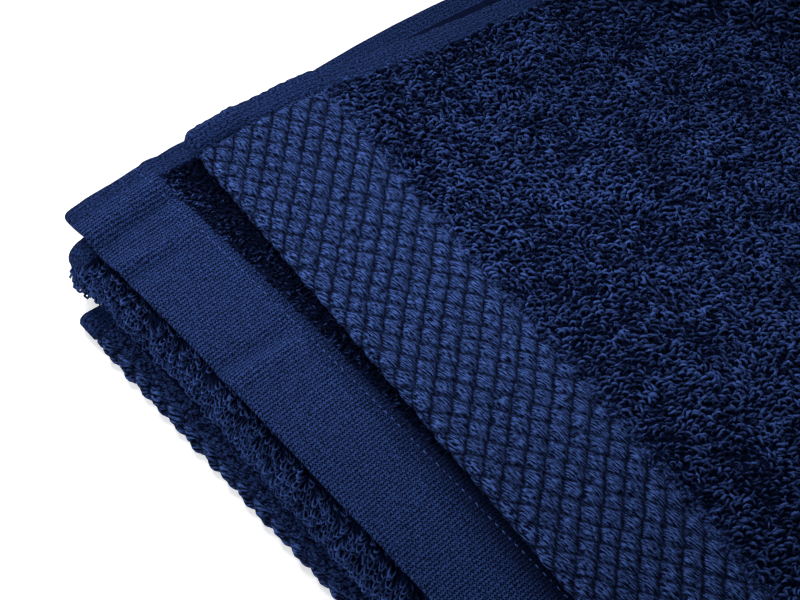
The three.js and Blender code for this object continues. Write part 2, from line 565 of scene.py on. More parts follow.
# The hem's light ribs run along the towel, with dark pinholes between them, each row half a step on.
# Grains are given as angle, width and length, in every weave.
hemWeave = {
    "ribPitch": 1.42,
    "holePitch": 1.0,
    "driftGrain": (90.0, 3.0, 12.0),
    "drift": 2.4,
    "fibreGrain": (90.0, 0.42, 0.9),
    "patchGrain": (20.0, 2.6, 4.0),
    "patches": 0.6,
    "holes": 1.15,
    "rimShade": 0.85,
    "light": (1.3, 2.3, 1.8),
    "bump": 0.0004,
}


def hemPattern(graph, place):
    across, along = place
    weave = hemWeave
    drift = (streaks(graph, place, *weave["driftGrain"]) - 0.5) * weave["drift"]
    turns = across * (2 * math.pi / weave["ribPitch"]) + drift
    rowTurn = (turns * (0.5 / math.pi) + 0.25).math("FLOOR") * math.pi
    holes = (along * (2 * math.pi / weave["holePitch"]) + rowTurn).wave()
    fibres = streaks(graph, place, *weave["fibreGrain"])
    patches = (streaks(graph, place, *weave["patchGrain"]) - 0.5) * weave["patches"]
    height = 1.0 - (1.0 - turns.wave()) * (holes * weave["holes"] - 0.05 + patches)
    # The hem is painted darker near the rim of the fold above it, as its shade.
    inShade = graph.attribute("paintedRimShade") * weave["rimShade"]
    share = blended(height, fibres, weave["light"]) * (1.0 - inShade)
    return share.limited(), height * 0.8 + fibres * 0.5


# The side hems have a few fine ribs along the edge under short slanting fluff.
sideWeave = {
    "pitch": 1.7,
    "driftGrain": (90.0, 2.0, 6.0),
    "drift": 5.0,
    "fluffGrain": (66.0, 0.42, 0.9, 2.0),
    "bump": 0.0005,
}


def sideHemPattern(graph, place):
    weave = sideWeave
    drift = (streaks(graph, place, *weave["driftGrain"]) - 0.5) * weave["drift"]
    ribs = (place[0] * (2 * math.pi / weave["pitch"]) + drift).wave()
    fluff = streaks(graph, place, *weave["fluffGrain"])
    height = blended(ribs, fluff, (0.16, 1.7, 0.08))
    return (height * 1.6 - 1.02).limited(), height * 0.7


# The plain strips are small pebbles of yarn.
stripWeave = {"pitch": 1.5, "fibreGrain": (20.0, 0.42, 1.0), "light": (0.8, 2.0, 1.05), "bump": 0.0006}


def plainStripPattern(graph, place):
    where = graph.flow("ShaderNodeTexCoord", output="Object")
    sockets = {"Vector": where, "Scale": 1.0 / (stripWeave["pitch"] * mm)}
    pebbles = graph.flow("ShaderNodeTexVoronoi", {"feature": "F1", "voronoi_dimensions": "3D"}, sockets)
    height = 1.0 - pebbles * 1.2
    fibres = streaks(graph, place, *stripWeave["fibreGrain"])
    return blended(height, fibres, stripWeave["light"]).limited(), height * 0.8 + fibres * 0.4


# The diamonds' yarn floats cross each pillow at a slant.
floats = {
    "pitch": 0.85,
    "slant": 14.0,
    "grain": 0.42,
    "reach": 2.3,
    "drift": 8.0,
    "brokenGrain": (70.0, 0.9, 2.2),
    "patchGrain": (30.0, 5.0, 7.0),
    "bump": 0.0005,
    "grooveWidth": 0.08,
    "grooveEdge": 16.0,
    "softWidth": 0.11,
    "softEdge": 8.0,
    "stagger": 0.11,
}


def reliefPattern(graph, place):
    slant = floats["slant"]
    drift = (streaks(graph, place, slant, 1.2, 3.0) - 0.5) * floats["drift"]
    yarns = (sideways(place, slant, floats["pitch"]) * (2 * math.pi) + drift).wave()
    fluff = streaks(graph, place, slant, floats["grain"], floats["reach"], 2.0)
    cross = graph.attribute("cross")
    broken = streaks(graph, place, *floats["brokenGrain"])
    offStep = (cross.math("FRACT") - 0.5) * floats["stagger"]
    toDeep = (graph.attribute("diagonal") - offStep).math("PINGPONG", 0.5)
    toSoft = cross.math("PINGPONG", 0.5)
    deepLine = ((broken * (2.0 * floats["grooveWidth"]) - toDeep) * floats["grooveEdge"]).limited()
    softLine = ((broken * (2.0 * floats["softWidth"]) - toSoft) * floats["softEdge"]).limited()
    height = blended(yarns, fluff, (0.25, 2.5, 0.95))
    # Painted shade: the rise attribute darkens the grooves, the rim and the front fold's underside,
    # leaving the pillows' crowns lightest.
    share = (height * 1.75 - 0.35) * (graph.attribute("rise") * 0.8 + 0.22)
    patches = streaks(graph, place, *floats["patchGrain"])
    # The deep and soft grooves' lines are painted darker as well, as shade in them.
    share = share * (1.0 - deepLine * (patches * 0.7 + 0.3)) * (1.0 - softLine * 0.6)
    return share.limited(), height * 0.8 - deepLine * 0.6 - softLine * 0.45


# Each loop has its own shade, its feet are painted darker as shade, and its yarn has a little fluff.
def loopPattern(graph, place):
    fibres = fineNoise(graph, 1100.0)
    paintedFootShade = graph.attribute("paintedFootShade")
    share = blended(graph.attribute("shade"), fibres, (0.95, 0.85, 0.46)) * paintedFootShade * paintedFootShade
    return share.limited(), fibres


# Plain fibres make the ground cloth, which shows only between the loops, and the sewing thread.
def fibrePattern(scale):
    def pattern(graph, place):
        fibres = fineNoise(graph, scale)
        return fibres, fibres

    return pattern


print("towel: cotton materials")
hemCotton = cottonMaterial("hemCotton", "deep", "light", hemPattern, hemWeave["bump"])
sideHemCotton = cottonMaterial("sideHemCotton", "deep", "light", sideHemPattern, sideWeave["bump"])
# The ground cloth is painted dark, as the shade between the loops.
groundCotton = cottonMaterial("groundCotton", "deep", "paintedShadeGround", fibrePattern(600.0), 0.0003)
stripCotton = cottonMaterial("stripCotton", "deep", "bright", plainStripPattern, stripWeave["bump"])
reliefCotton = cottonMaterial("reliefCotton", "deep", "crown", reliefPattern, floats["bump"])
loopCotton = cottonMaterial("loopCotton", "deep", "bright", loopPattern, 0.0001)
stitchCotton = cottonMaterial("stitchCotton", "light", "stitch", fibrePattern(900.0), 0.0001)


# The woven cloth itself: one closed sheet with both faces, its hems rounded, thin where loops stand on it.
clothSheet = {
    "edgeRound": 1.3,
    "edgeThin": 0.12,
    "cornerRound": 3.0,
    "cornerDepth": 0.85,
    "sideHemBlend": 2.0,
    "loopEdgeBlend": 1.5,
    "loopGround": 0.9,
    "borderGround": 0.4,
    "pileGround": 1.0,
    "flapLoopsEnd": 64.0,
    "hemCornerWidth": 7.0,
    "rimShadeReach": 6.0,
    "rimShadeFade": 4.0,
    "middleColumn": 7.0,
    "coarseColumn": 12.0,
    "middleUntil": 350.0,
    "nearTopEnd": 250.0,
}
edgeColumns = (0.0, 0.35, 0.9, 1.8, 3.6, 5.4, 7.2, 8.6, 9.5, 10.6)
creaseSpans = ((12.4, 46.0, 2.0), (80.0, 98.0, 2.2))  # from, to and step of the columns over the creases
columnGaps = {"creases": 2.0, "right": 4.0}
endRows = (0.0, 0.35, 0.9, 1.8)

# The side edge is drawn in and out a little by the border's last diamonds and the terry's rows.
sideKnobs = {
    "pitch": 3.88,
    "reach": 0.6,
    "depth": 2.5,
    "fade": 20.0,
    "sway": 0.45,
    "swayCell": 9.0,
    "rough": 0.35,
    "roughCell": 4.0,
    "onHem": 0.25,
}

# Bands of rows along the sheet: where a band ends, as a length or a run's start or end, and its rows.
sheetBands = [
    (cloth["hem"], 16),
    (("flap with the hem", 1), 14),
    (("return under the top", 0), 5),
    (("return under the top", 1), 3),
    (("top layer", 0), 8),
    (borderEnd, 32),
    (terryStart, 3),
    (clothSheet["nearTopEnd"], 40),
    (("top layer", 1), 18),
    (("second layer", 0), 8),
    (("second layer", 1), 16),
    (("third layer", 0), 10),
    (("third layer", 1), 14),
    (("bottom layer", 0), 8),
    (("bottom layer", 1), 14),
    (("tucked end", 0), 6),
    (cloth["length"] - cloth["hem"] - cloth["terryEnd"], 4),
    (cloth["length"] - endRows[-1], 6),
]


def between(value, low, high, blend):
    return smoothStep((value - low) / blend + 0.5) * smoothStep((high - value) / blend + 0.5)


def edgeRounding(distance):
    into = np.clip(distance / clothSheet["edgeRound"], 0.0, 1.0)
    thin = clothSheet["edgeThin"]
    return thin + (1.0 - thin) * np.sqrt(1.0 - np.square(1.0 - into))


# Where the cloth is thin under what stands on it: how far the span goes past its two marks, and the
# length over which it thins.
thinSpans = {
    "topTerry": (0.0, 8.0, 2.0),
    "backTerry": (-6.0, 4.0, 3.0),
    "flapTerry": (0.0, 0.0, 2.0),
    "border": (-6.0, 0.0, 1.5),
    "lastBorder": (-12.0, 5.0, 1.5),
    "pile": (-12.0, 8.0, 4.0),
}


def thinAt(name, along, low, high):
    before, past, blend = thinSpans[name]
    return between(along, low + before, high + past, blend)


# Half the cloth's thickness on its inner and outer faces. The inner face is the one with the top's loops.
def faceHalves(x, along):
    size = clothSheet
    fromEnd = endDistance(along)
    half = bandThickness(fromEnd) / 2
    fromSide = sideDistance(x)
    side = np.where(fromEnd < cloth["hem"], cloth["hemThickness"], cloth["sideHemThickness"]) / 2
    half = lerp(side, half, smoothStep((fromSide - cloth["sideHem"]) / size["sideHemBlend"] + 0.5))
    onLoops = smoothStep((fromSide - cloth["sideHem"]) / size["loopEdgeBlend"] + 0.5)
    topTerry = thinAt("topTerry", along, terryStart, markAlong("second layer", 0, x))
    backMarks = markAlong("third layer", 1, x), markAlong("bottom layer", 0, x)
    backTerry = thinAt("backTerry", along, *backMarks)
    flapTerry = thinAt("flapTerry", along, cloth["hem"], size["flapLoopsEnd"])
    terry = np.maximum(np.maximum(topTerry, backTerry), flapTerry)
    inner = lerp(half, size["loopGround"], terry * onLoops)
    border = thinAt("border", along, borderStart, borderEnd)
    lastBorder = thinAt("lastBorder", along, lastBorderEdge, lastBorderEdge)
    inner = lerp(inner, size["borderGround"], np.maximum(border, lastBorder) * onLoops)
    pile = thinAt("pile", along, markAlong("second layer", 1, x), markAlong("third layer", 0, x))
    outer = lerp(half, size["pileGround"], pile * onLoops)
    rounding = edgeRounding(fromSide) * edgeRounding(fromEnd)
    return inner * rounding, outer * rounding


# The cloth's four corners are a little rounded.
def roundedCorners(x, along):
    reach = clothSheet["cornerRound"]
    fromSide = sideDistance(x)
    fromEnd = endDistance(along)
    short = np.clip(1.0 - fromEnd / reach, 0.0, 1.0)
    inward = clothSheet["cornerDepth"] * reach * (1.0 - np.sqrt(1.0 - np.square(short)))
    inward *= np.clip(1.0 - fromSide / reach, 0.0, 1.0)
    return x + np.where(x < cloth["width"] / 2, inward, -inward)


# How close a place on the flap lies to the rim of the fold above it, from 0 to 1, which sets the painted
# shade by the rim.
def nearTheRim(x, y):
    fromRim = foldLineAt("topFold", x / cloth["width"]) - y
    return bell(np.maximum(fromRim - 1.0, 0.0) / clothSheet["rimShadeReach"])


def sheetColumns():
    size = clothSheet
    fine = [np.arange(*span) for span in creaseSpans]
    middle = np.arange(creaseSpans[0][1], size["middleUntil"], size["middleColumn"])
    middle = middle[(middle < creaseSpans[1][0] - columnGaps["creases"]) | (middle > creaseSpans[1][1])]
    restEnd = cloth["width"] - edgeColumns[-1] - columnGaps["right"]
    rest = np.arange(size["middleUntil"], restEnd, size["coarseColumn"])
    right = cloth["width"] - np.array(edgeColumns[::-1])
    return np.sort(np.concatenate([edgeColumns, *fine, middle, rest, right]))


def sheetRows(columns):
    rows = [np.full_like(columns, value) for value in endRows]
    before = rows[-1]
    for mark, count in sheetBands:
        target = markAlong(*mark, columns) if isinstance(mark, tuple) else np.full_like(columns, mark)
        rows += [lerp(before, target, step / count) for step in range(1, count + 1)]
        before = target
    rows += [np.full_like(columns, cloth["length"] - value) for value in endRows[-2::-1]]
    return np.stack(rows, axis=1)


def knobsAt(x, along):
    size = sideKnobs
    nearEdge = np.exp(-sideDistance(x) / size["depth"])
    nearEdge *= 1.0 - smoothStep((along - clothSheet["nearTopEnd"]) / size["fade"])
    turn = along / size["pitch"] + size["sway"] * softNoise(along, x, size["swayCell"], 32)
    knobs = size["reach"] * (np.abs(np.sin(math.pi * turn)) - 0.5)
    knobs += size["rough"] * softNoise(along, x, size["roughCell"], 31)
    knobs *= np.where(along < cloth["hem"], size["onHem"], 1.0)
    return np.where(x < cloth["width"] / 2, -1.0, 1.0) * nearEdge * knobs


# The faces of the sheet's two sides and its four edges, where its outer points follow its inner ones.
def sheetFaces(index):
    outer = index.size
    inner = gridFaces(index)
    faces = [inner, inner[:, [0, 3, 2, 1]] + outer]
    edges = ((index[0], False), (index[-1], True), (index[:, 0], True), (index[:, -1], False))
    for line, turned in edges:
        here, there = (line[1:], line[:-1]) if turned else (line[:-1], line[1:])
        faces.append(np.stack([here, there, there + outer, here + outer], axis=-1))
    return np.vstack(faces)


# Which cloth each face is: 0 the hem, 1 the side hem, 2 the ground of loops, 3 a plain strip.
def clothKinds(centres):
    fromSide, fromEnd = sideDistance(centres[:, 0]), endDistance(centres[:, 1])
    kind = np.full(len(centres), 2)
    kind[(fromEnd > borderStart - cloth["plainStrip"]) & (fromEnd < terryStart + 0.2)] = 3
    kind[fromSide < cloth["sideHem"]] = 1
    kind[(fromEnd < cloth["hem"]) & (fromSide >= clothSheet["hemCornerWidth"])] = 0
    return kind


def buildClothSheet():
    columns = sheetColumns()
    along = sheetRows(columns)
    x = np.repeat(columns[:, None], along.shape[1], axis=1)
    flatX, flatAlong = x.ravel(), along.ravel()
    places, normals = onCloth(roundedCorners(flatX, flatAlong), flatAlong)
    innerHalf, outerHalf = faceHalves(flatX, flatAlong)
    knobs = knobsAt(flatX, flatAlong)
    points = np.vstack([places + normals * innerHalf[:, None], places - normals * outerHalf[:, None]])
    points[:, 0] += np.tile(knobs, 2)
    points[:, 2] = np.maximum(points[:, 2], 0.0)
    faces = sheetFaces(np.arange(along.size).reshape(along.shape))
    flat = np.tile(np.stack([flatX, flatAlong], axis=-1), (2, 1))
    kinds = clothKinds(flat[faces].mean(axis=1))
    materials = [hemCotton, sideHemCotton, groundCotton, stripCotton]
    mesh = meshFrom("wovenCloth", inFrame(points), faces, flat, materials, kinds)
    # Where the top's front fold closes down on the hem, a soft shade is painted on the hem.
    paintedRimShade = nearTheRim(flatX, places[:, 1])
    paintedRimShade *= 1.0 - smoothStep((flatAlong - clothSheet["flapLoopsEnd"]) / clothSheet["rimShadeFade"])
    keepOnPoints(mesh, "paintedRimShade", np.concatenate([paintedRimShade, np.zeros_like(paintedRimShade)]))
    return makeObject("wovenCloth", mesh)


print("towel: woven cloth")
wovenCloth = buildClothSheet()


# The border's diamonds, raised pillows between deep and soft grooves, on a skin of their own.
diamonds = {
    "halfAcross": 4.58,
    "halfAlong": 3.88,
    "stepsPerHalf": 7,
    "coarseSteps": 3,
    "fineUntil": -88.0,
    "patternShift": 8.0,
    "crossPhase": 0.25,
    "grooveLift": 0.55,
    "sway": 0.09,
    "diagonalSway": 0.6,
    "swayCells": (5.0, 6.0),
    "uneven": 0.25,
    "leastCrown": 0.82,
    "crownRise": 0.18,
    "rimLift": 0.1,
    "rimWidth": 1.2,
    "sideWidth": 5.0,
    "sideRise": 0.4,
    "flatEnd": 4.0,
    "flatRise": 0.15,
    "foldWidth": 5.0,
    "shadeWidth": 3.5,
    "floorGap": 0.02,
}
# The pillows of the top's border, which flatten on its front fold and are painted darker under it, and the
# bottom layer's rounder ones.
topPillows = {
    "rise": 1.3,
    "foldRise": 0.55,
    "foldShade": 0.6,
    "deepWidth": 0.10,
    "softWidth": 0.13,
    "softShare": 0.68,
}
bottomPillows = {
    "rise": 2.0,
    "foldRise": 1.1,
    "foldShade": 0.0,
    "deepWidth": 0.2,
    "softWidth": 0.18,
    "softShare": 0.3,
}


# How many diamonds a place is along the two diagonals, with the weave's sway.
def diagonalsAt(u, v):
    size = diamonds
    a = (u / size["halfAcross"] + v / size["halfAlong"]) / 2
    b = (u / size["halfAcross"] - v / size["halfAlong"]) / 2 + size["crossPhase"]
    diagonalCell, crossCell = size["swayCells"]
    a = a + size["sway"] * size["diagonalSway"] * softNoise(u, v, diagonalCell, 3)
    b = b + size["sway"] * softNoise(u, v, crossCell, 4)
    return a, b


def pillowLift(a, b, pillow):
    a = a - floats["stagger"] * (b - np.floor(b) - 0.5)
    toDeep = np.abs(a - np.round(a))
    toSoft = np.abs(b - np.round(b))
    deep = 1.0 - bell(toDeep / pillow["deepWidth"])
    soft = 1.0 - pillow["softShare"] * bell(toSoft / pillow["softWidth"])
    crown = diamonds["crownRise"] * np.cos(2 * math.pi * (toDeep - 0.5)) * np.cos(math.pi * (toSoft - 0.5))
    crown = diamonds["leastCrown"] + crown
    uneven = 1.0 + diamonds["uneven"] * softNoise(np.floor(a) * 7.3, np.floor(b) * 5.1, 1.0, 5)
    return deep * soft * crown * uneven


# A skin of diamonds between two lengths along the cloth. The pattern starts so far from the cloth's end.
def buildDiamonds(name, alongFrom, alongTo, patternStart, pillow, foldRuns):
    size = diamonds
    stepV = size["halfAlong"] / size["stepsPerHalf"]
    leftU = cloth["sideHem"] - 0.5 * cloth["width"] + size["patternShift"]
    rightU = 0.5 * cloth["width"] - cloth["sideHem"] + size["patternShift"]
    fine = np.arange(leftU, size["fineUntil"], size["halfAcross"] / size["stepsPerHalf"])
    coarse = np.arange(size["fineUntil"], rightU, size["halfAcross"] / size["coarseSteps"])
    us = np.concatenate([fine, coarse])
    lowV, highV = alongFrom + patternStart, alongTo + patternStart
    vs = np.arange(math.ceil(lowV / stepV), math.floor(highV / stepV) + 1) * stepV
    u, v = np.meshgrid(us, vs, indexing="ij")
    x = u.ravel() + 0.5 * cloth["width"] - size["patternShift"]
    along = v.ravel() - patternStart
    fromSide = np.minimum(u - us[0], us[-1] - u).ravel()
    rim = np.minimum(fromSide, np.minimum(v - vs[0], vs[-1] - v).ravel())
    shoulder = smoothStep(rim / size["rimWidth"])
    diagonal, cross = diagonalsAt(u.ravel(), v.ravel())
    pillows = pillowLift(diagonal, cross, pillow)
    flatter = lerp(size["flatRise"], 1.0, smoothStep((alongTo - along) / size["flatEnd"]))
    flatter *= lerp(size["sideRise"], 1.0, smoothStep(fromSide / size["sideWidth"]))
    fromFold = along - foldMiddle(*foldRuns, x)
    fuller = 1.0 + (pillow["foldRise"] - 1.0) * bell(fromFold / size["foldWidth"])
    lift = size["grooveLift"] + pillow["rise"] * pillows * flatter * fuller
    lift = lerp(size["rimLift"], lift, shoulder)
    places, normals = onCloth(x, along)
    points = places + normals * lift[:, None]
    points[:, 2] = np.maximum(points[:, 2], size["floorGap"])
    faces = gridFaces(np.arange(u.size).reshape(u.shape))
    mesh = meshFrom(name, inFrame(points), faces, np.stack([x, along], axis=-1), [reliefCotton])
    # Painted shade for the material: darker in the grooves and at the rim, and darker past the front
    # fold's middle.
    paintedShade = pillows * shoulder
    paintedShade *= 1.0 - pillow["foldShade"] * smoothStep((1.0 - fromFold) / size["shadeWidth"])
    keepOnPoints(mesh, "rise", np.clip(paintedShade, 0.0, 1.0))
    keepOnPoints(mesh, "diagonal", diagonal)
    keepOnPoints(mesh, "cross", cross)
    return makeObject(name, mesh)


print("towel: diamond border")
# The top's lattice keeps its place on the front fold, as a mean over three places across.
samples = np.array([20.0, 200.0, 350.0])
foldToPattern = foldLineAt("topFold", samples / cloth["width"]) - foldMiddle(*topFoldRuns, samples)
topSpan = (borderStart - 5.0, borderEnd + 3.0, float(np.mean(foldToPattern)))
diamondBorder = buildDiamonds("diamondBorder", *topSpan, topPillows, topFoldRuns)
bottomSpan = (lastBorderEdge - 8.0, lastBorderEdge + 4.5, 0.0)
bottomScallops = buildDiamonds("bottomScallops", *bottomSpan, bottomPillows, bottomFoldRuns)


# Each kind of loop is one bent yarn: its feet's spread, height, lean along itself, twist and bulge.
loopColumns = ("spread", "height", "lean", "twist", "bulge")
terryLoops = [
    (1.9, 1.65, 0.5, 0.8, 1.6),
    (2.5, 1.45, -0.4, 1.6, 1.5),
    (1.5, 2.0, 0.8, -0.9, 1.8),
    (2.7, 1.3, 0.2, -1.8, 1.4),
    (1.3, 1.9, -0.9, 1.1, 1.8),
]
pileLoops = [
    (1.1, 3.1, 0.35, 0.4, 2.9),
    (1.3, 2.7, -0.35, 0.6, 2.5),
    (1.0, 3.6, 0.2, -0.4, 3.1),
    (1.2, 2.3, -0.3, -0.6, 2.6),
]
footDepth = 0.4
yarnInputs = {
    "Yarn Radius": "NodeSocketFloat",
    "Yarn Sides": "NodeSocketInt",
    "Segments": "NodeSocketInt",
    "Material": "NodeSocketMaterial",
}


# A loop's curve, as the settings of a Bezier segment, which rises to three quarters of its handles.
def loopBend(row):
    kind = dict(zip(loopColumns, row))
    foot, top = kind["spread"] / 2, (kind["height"] + footDepth / 4) / 0.75
    swing = foot * kind["bulge"]
    return {
        "Resolution": 12,
        "Start": (-foot * mm, 0.0, -footDepth * mm),
        "Start Handle": ((kind["lean"] - swing) * mm, -0.6 * kind["twist"] * mm, top * mm),
        "End Handle": ((kind["lean"] + swing) * mm, 1.4 * kind["twist"] * mm, top * mm),
        "End": (foot * mm, 0.0, -footDepth * mm),
    }


# A tree that stands a bent yarn on every point, turned by the point's own facing and heading.
def yarnTree(name, kinds, seed):
    tree = bpy.data.node_groups.new(name, "GeometryNodeTree")
    tree.is_modifier = True
    for way in ("OUTPUT", "INPUT"):
        tree.interface.new_socket("Geometry", in_out=way, socket_type="NodeSocketGeometry")
    for title, kind in yarnInputs.items():
        tree.interface.new_socket(title, in_out="INPUT", socket_type=kind)
    graph = Graph(tree)
    given = graph.add("NodeGroupInput").outputs
    circle = {"Resolution": given["Yarn Sides"], "Radius": given["Yarn Radius"]}
    ring = graph.flow("GeometryNodeCurvePrimitiveCircle", {"mode": "RADIUS"}, circle)
    join = graph.add("GeometryNodeJoinGeometry")
    points = Flow(graph, given["Segments"]) + 1.0
    # Painted shade along each yarn: 1 at the loop's top, falling to 0 at its feet.
    paintedFootShade = (graph.flow("GeometryNodeSplineParameter") * math.pi).math("SINE")
    numbers = {"data_type": "FLOAT"}
    vectors = {"data_type": "FLOAT_VECTOR"}
    for row in reversed(kinds):
        curve = graph.flow("GeometryNodeCurvePrimitiveBezierSegment", {"mode": "POSITION"}, loopBend(row))
        evened = graph.flow("GeometryNodeResampleCurve", None, {"Curve": curve, "Count": points})
        tipped = {"Geometry": evened, "Name": "paintedFootShade", "Value": paintedFootShade}
        stored = graph.flow("GeometryNodeStoreNamedAttribute", numbers | {"domain": "POINT"}, tipped)
        yarn = graph.flow("GeometryNodeCurveToMesh", None, {"Curve": stored, "Profile Curve": ring})
        single = graph.flow("GeometryNodeGeometryToInstance", None, {0: yarn})
        tree.links.new(single.socket, join.inputs[0])
    facing = graph.flow("GeometryNodeInputNamedAttribute", vectors, {"Name": "facing"})
    heading = graph.flow("GeometryNodeInputNamedAttribute", vectors, {"Name": "heading"})
    axes = {"primary_axis": "Z", "secondary_axis": "X"}
    draw = {"Min": 0, "Max": len(kinds) - 1, "Seed": seed}
    standing = {
        "Points": given["Geometry"],
        "Instance": join.outputs[0],
        "Pick Instance": True,
        "Instance Index": graph.flow("FunctionNodeRandomValue", {"data_type": "INT"}, draw, output=2),
        "Rotation": graph.flow("FunctionNodeAxesToRotation", axes, {0: facing, 1: heading}),
        "Scale": graph.flow("GeometryNodeInputNamedAttribute", numbers, {"Name": "size"}),
    }
    stand = graph.flow("GeometryNodeInstanceOnPoints", None, standing)
    real = graph.flow("GeometryNodeRealizeInstances", None, {0: stand})
    smooth = graph.flow("GeometryNodeSetShadeSmooth", None, {0: real})
    finish = {"Geometry": smooth, "Material": given["Material"]}
    graph.add("NodeGroupOutput", None, {0: graph.flow("GeometryNodeSetMaterial", None, finish)})
    return tree


# Stands yarns on points of the cloth and keeps what comes out as a plain mesh. The yarn is its radius,
# sides, segments and material, in the order of yarnInputs.
def standYarns(name, tree, yarn, base, kept):
    mesh = bpy.data.meshes.new(name + "Points")
    mesh.vertices.add(len(base))
    mesh.vertices.foreach_set("co", np.asarray(inFrame(base), np.float32).ravel())
    for title, values in kept.items():
        keepOnPoints(mesh, title, values)
    carrier = makeObject(name + "Points", mesh)
    modifier = carrier.modifiers.new("yarns", "NODES")
    modifier.node_group = tree
    given = dict(zip(yarnInputs, yarn))
    for item in tree.interface.items_tree:
        if item.in_out == "INPUT" and item.name in given:
            modifier[item.identifier] = given[item.name]
    evaluated = carrier.evaluated_get(bpy.context.evaluated_depsgraph_get())
    made = bpy.data.meshes.new_from_object(evaluated)
    carrier.modifiers.remove(modifier)
    bpy.data.objects.remove(carrier)
    made.name = name
    corners = np.empty(len(made.vertices) * 3, np.float32)
    made.vertices.foreach_get("co", corners)
    corners[2::3] = np.maximum(corners[2::3], 0.0)
    made.vertices.foreach_set("co", corners)
    for title in ("facing", "heading", "size"):
        if title in made.attributes:
            made.attributes.remove(made.attributes[title])
    print(f"towel: {name} has {sum(len(p.vertices) - 2 for p in made.polygons)} triangles")
    return makeObject(name, made)


terry = {
    "nearPitch": 1.74,
    "middlePitch": 2.4,
    "farPitch": 3.5,
    "nearSegments": 5,
    "middleSegments": 3,
    "farSegments": 2,
    "middleScale": 1.3,
    "farScale": 1.85,
    "radius": 0.45,
    "sides": 3,
    "margin": 0.2,
    "marginSway": 0.7,
    "marginCell": 3.5,
    "startBefore": 3.2,
    "startSway": 1.8,
    "startCell": 3.6,
    "clumpCell": 7.0,
    "smallClumps": 0.6,
    "smallClumpCell": 3.4,
    "headingAngle": 48.0,
    "headingSpread": 23.0,
    "headingSway": 0.75,
    "tiltSpread": 0.30,
    "tiltSway": 0.22,
    "swayCell": 9.0,
    "usualSize": 0.98,
    "clumpSize": 0.13,
    "sizeSpread": 0.12,
    "leastSize": 0.62,
    "mostSize": 1.35,
    "clumpShade": 0.18,
    "shadeSpread": 0.22,
    "rootDepth": 0.1,
    "seenMargin": 5.0,
    "middleBand": 26.0,
}

# The part of the top that the picture shows, in x and in length along the cloth, as a convex outline.
seenCorners = [(0, 150), (0, 236), (26, 262), (62, 300), (98, 340), (138, 318), (252, 196), (262, 150)]


def outsideSeen(x, along):
    distance = np.full_like(x, -1e9)
    for (x1, y1), (x2, y2) in zip(seenCorners, seenCorners[1:] + seenCorners[:1]):
        length = math.hypot(x2 - x1, y2 - y1)
        side = ((x - x1) * (y2 - y1) - (along - y1) * (x2 - x1)) / length
        distance = np.maximum(distance, -side)
    return distance


pointRows = {"spacing": 0.98, "stagger": 0.5, "jitter": 0.36}  # in pitches

# Where each grid of loops starts and ends across the cloth, and then along it.
nearGrid = (8.0, 290.0, terryStart - 5.0, 350.0)
middleGrid = (9.0, 330.0, terryStart, 390.0)
farGrid = (9.0, 692.0, terryStart, 520.0)
backFoldGrid = (9.0, 692.0, -10.0, 2.0)  # along from the middle of the fold
farPastFold = 6.0


# Points in staggered rows, each moved a little by chance.
def gridPoints(xFrom, xTo, alongFrom, alongTo, pitch, seed):
    columns = np.arange(xFrom, xTo, pitch)
    rows = np.arange(alongFrom, alongTo, pitch * pointRows["spacing"])
    x, along = np.meshgrid(columns, rows, indexing="ij")
    x = x + pitch * pointRows["stagger"] * (np.arange(len(rows)) % 2)
    shuffle = np.random.default_rng(seed)
    jitter = pointRows["jitter"]
    x = x + shuffle.uniform(-jitter, jitter, x.shape) * pitch
    along = along + shuffle.uniform(-jitter, jitter, x.shape) * pitch
    return x.ravel(), along.ravel()


def terryYarns(name, x, along, scale, segments, seed, shadeShare=0.5):
    margin = cloth["sideHem"] + terry["margin"]
    margin = margin + terry["marginSway"] * softNoise(x, along, terry["marginCell"], 14)
    keep = sideDistance(x) > margin
    shadeShare = np.broadcast_to(shadeShare, x.shape)[keep]
    x, along = x[keep], along[keep]
    places, normals = onCloth(x, along)
    shuffle = np.random.default_rng(seed)
    angle = np.radians(terry["headingAngle"] + shuffle.normal(0, terry["headingSpread"], len(x)))
    angle += shuffle.integers(0, 2, len(x)) * math.pi
    angle += terry["headingSway"] * softNoise(x, along, terry["swayCell"], 77)
    ahead, _ = onCloth(np.minimum(x + 1.0, cloth["width"]), along)
    acrossWay = unit(ahead - places)
    alongWay = np.cross(normals, acrossWay)
    heading = acrossWay * np.cos(angle)[:, None] + alongWay * np.sin(angle)[:, None]
    clump = softNoise(x, along, terry["clumpCell"], 12)
    clump += terry["smallClumps"] * softNoise(x, along, terry["smallClumpCell"], 13)
    sway = np.stack([softNoise(x, along, terry["swayCell"], way) for way in (21, 22)], axis=-1)
    tilt = terry["tiltSpread"] * shuffle.normal(0, 1, (len(x), 2)) + terry["tiltSway"] * sway
    facing = unit(normals + acrossWay * tilt[:, :1] + alongWay * tilt[:, 1:])
    size = terry["usualSize"] + terry["clumpSize"] * clump
    size = (size + terry["sizeSpread"] * shuffle.normal(0, 1, len(x))) * scale
    size = np.clip(size, terry["leastSize"] * scale, terry["mostSize"] * scale)
    shade = shadeShare + terry["clumpShade"] * clump
    shade = np.clip(shade + terry["shadeSpread"] * shuffle.normal(0, 1, len(x)), 0.0, 1.0)
    base = places + normals * (clothSheet["loopGround"] - terry["rootDepth"])
    yarn = (terry["radius"] * mm, terry["sides"], segments, loopCotton)
    kept = {"facing": facing, "heading": heading, "size": size, "shade": shade}
    return standYarns(name, terryTree, yarn, base, kept)


